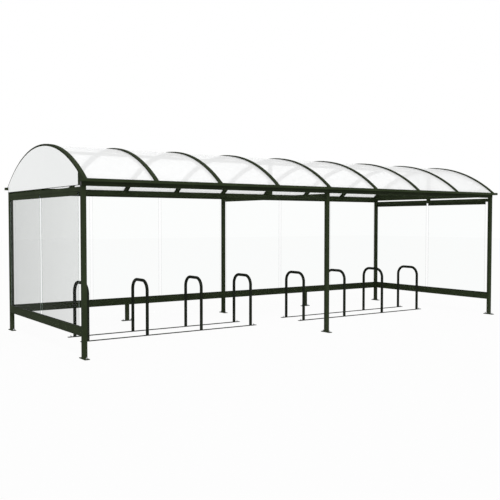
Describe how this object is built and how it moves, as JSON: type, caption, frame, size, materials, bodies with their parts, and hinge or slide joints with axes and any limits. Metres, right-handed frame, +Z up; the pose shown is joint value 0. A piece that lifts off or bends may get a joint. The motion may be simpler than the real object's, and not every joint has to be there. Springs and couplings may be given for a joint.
{
  "type": "bike shelter",
  "caption": "Open-fronted bike shelter with a painted steel frame, clear back and end panels, a curved translucent roof and hoop stands inside.",
  "frame": {"origin": "on the ground, at the middle of the footprint", "axes": "+X along the shelter, +Y from the open front to the glazed back, +Z up"},
  "size_m": [8.12, 3.24, 2.82],
  "materials": {
    "frame_paint": "satin dark green powder coat",
    "trim_paint": "satin dark green powder coat on folded trim",
    "stand_paint": "satin dark green powder coat",
    "clear_panel": "clear glossy plastic glazing",
    "opal_sheet": "milky translucent roof sheet",
    "white_sheet": "plain white gable sheet"
  },
  "bodies": {
    "root": {"bottom_rail_back_left": "frame_paint", "bottom_rail_back_right": "frame_paint", "bottom_rail_end_left": "frame_paint", "bottom_rail_end_right": "frame_paint", "clear_panels_back_left": "clear_panel", "clear_panels_back_right": "clear_panel", "clear_panels_end_left": "clear_panel", "clear_panels_end_right": "clear_panel", "eave_beam_back": "frame_paint", "eave_beam_front": "frame_paint", "eave_rail_back": "frame_paint", "eave_rail_front": "frame_paint", "gable_sheet_left": "white_sheet", "gable_sheet_right": "white_sheet", "gable_sill_left": "frame_paint", "gable_sill_right": "frame_paint", "glazing_channels_back_left": "trim_paint", "glazing_channels_back_right": "trim_paint", "glazing_channels_end_left": "trim_paint", "glazing_channels_end_right": "trim_paint", "king_post_left": "frame_paint", "king_post_middle": "frame_paint", "king_post_right": "frame_paint", "post_back_left": "frame_paint", "post_back_middle": "frame_paint", "post_back_right": "frame_paint", "post_front_left": "frame_paint", "post_front_middle": "frame_paint", "post_front_right": "frame_paint", "rib_caps": "trim_paint", "ridge_purlin": "frame_paint", "roof_rib_1": "frame_paint", "roof_rib_2": "frame_paint", "roof_rib_3": "frame_paint", "roof_rib_4": "frame_paint", "roof_rib_5": "frame_paint", "roof_rib_6": "frame_paint", "roof_rib_7": "frame_paint", "roof_rib_8": "frame_paint", "roof_rib_9": "frame_paint", "roof_sheet_1": "opal_sheet", "roof_sheet_2": "opal_sheet", "roof_sheet_3": "opal_sheet", "roof_sheet_4": "opal_sheet", "roof_sheet_5": "opal_sheet", "roof_sheet_6": "opal_sheet", "roof_sheet_7": "opal_sheet", "roof_sheet_8": "opal_sheet", "short_legs_back": "frame_paint", "stand_hoops_left": "stand_paint", "stand_hoops_right": "stand_paint", "stand_rails_left": "stand_paint", "stand_rails_right": "stand_paint", "tie_left": "frame_paint", "tie_middle": "frame_paint", "tie_right": "frame_paint"}
  },
  "joints": []
}
